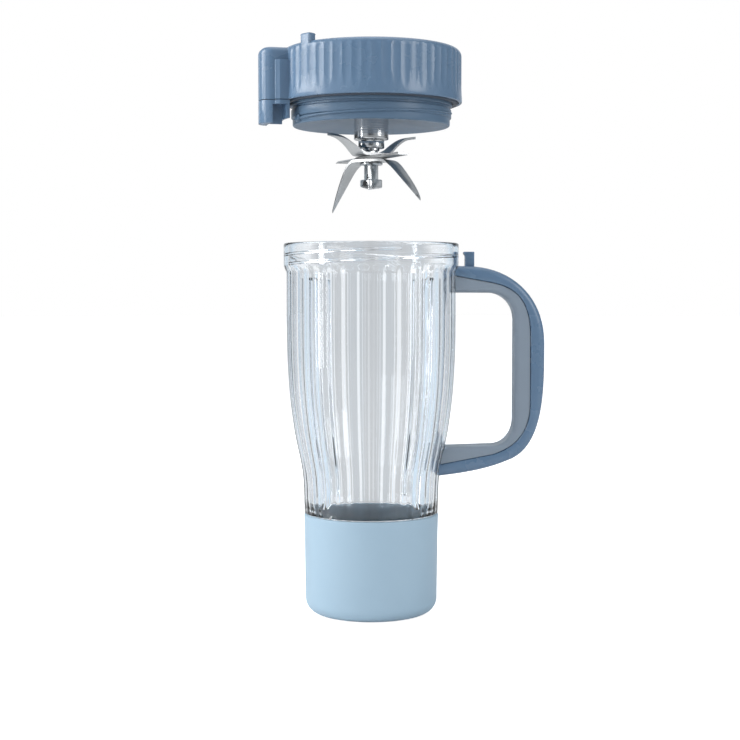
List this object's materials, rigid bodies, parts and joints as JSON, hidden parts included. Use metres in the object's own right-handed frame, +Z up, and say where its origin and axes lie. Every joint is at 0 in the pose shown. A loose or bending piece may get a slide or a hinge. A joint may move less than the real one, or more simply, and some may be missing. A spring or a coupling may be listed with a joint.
{
  "type": "blender tumbler with blade lid",
  "caption": "Clear fluted blending tumbler with a D handle and soft base boot, and its screw-on lid with bent blades, a fluted collar and a side latch arm.",
  "frame": {"origin": "centre of the base boot's flat underside, on the cup's axis", "axes": "+Z up along the cup's axis, +X towards the handle"},
  "size_m": [0.155, 0.0988, 0.312],
  "materials": {
    "clear_cup": "clear, glossy",
    "boot_blue": "soft-touch, matte",
    "shell_blue": "gloss, moulded",
    "grip_grey": "satin",
    "plug_grey": "satin",
    "seal_grey": "matte silicone",
    "steel": "polished stainless steel",
    "dark_steel": "plain steel",
    "drive_black": "satin"
  },
  "bodies": {
    "cup": {"cup_body": "clear_cup", "base_boot": "boot_blue", "handle_shell": "shell_blue", "handle_grip": "grip_grey", "interlock_post": "shell_blue"},
    "gasket": {"lid_gasket": "seal_grey"},
    "lid": {"lid_collar": "shell_blue", "latch_shoe": "shell_blue", "lid_plug": "plug_grey", "lid_top_cover": "shell_blue", "cover_screw_1": "dark_steel", "cover_screw_2": "dark_steel", "cover_screw_3": "dark_steel", "cover_screw_4": "dark_steel", "bearing_sleeve": "steel", "bearing_lower": "steel", "bearing_upper": "steel", "retaining_ring": "dark_steel", "shaft_seal": "seal_grey", "plunger_spring": "dark_steel"},
    "plunger": {"interlock_plunger": "drive_black"},
    "blade_drive": {"spindle": "steel", "coupling_spacer": "dark_steel", "drive_coupling": "drive_black", "coupling_nut": "dark_steel", "blade_up": "steel", "blade_flat": "steel", "blade_down": "steel", "blade_washer": "steel", "blade_collar": "steel"}
  },
  "joints": [
    {"name": "lid_lift", "type": "slide", "parent": "cup", "child": "gasket", "axis": [0, 0, 1], "range_m": [-0.0748, 0]},
    {"name": "lid_twist", "type": "hinge", "parent": "gasket", "child": "lid", "pos_m": [0, 0, 0.279], "axis": [0, 0, 1], "range_deg": [-190.7, 0]},
    {"name": "blade_spin", "type": "hinge", "parent": "lid", "child": "blade_drive", "pos_m": [0, 0, 0.25], "axis": [0, 0, 1], "continuous": true},
    {"name": "plunger_press", "type": "slide", "parent": "lid", "child": "plunger", "axis": [0, 0, 1], "range_m": [0, 0.004], "stiffness_N_per_m": 300, "springref_m": -0.004, "deforming": ["plunger_spring"]}
  ]
}
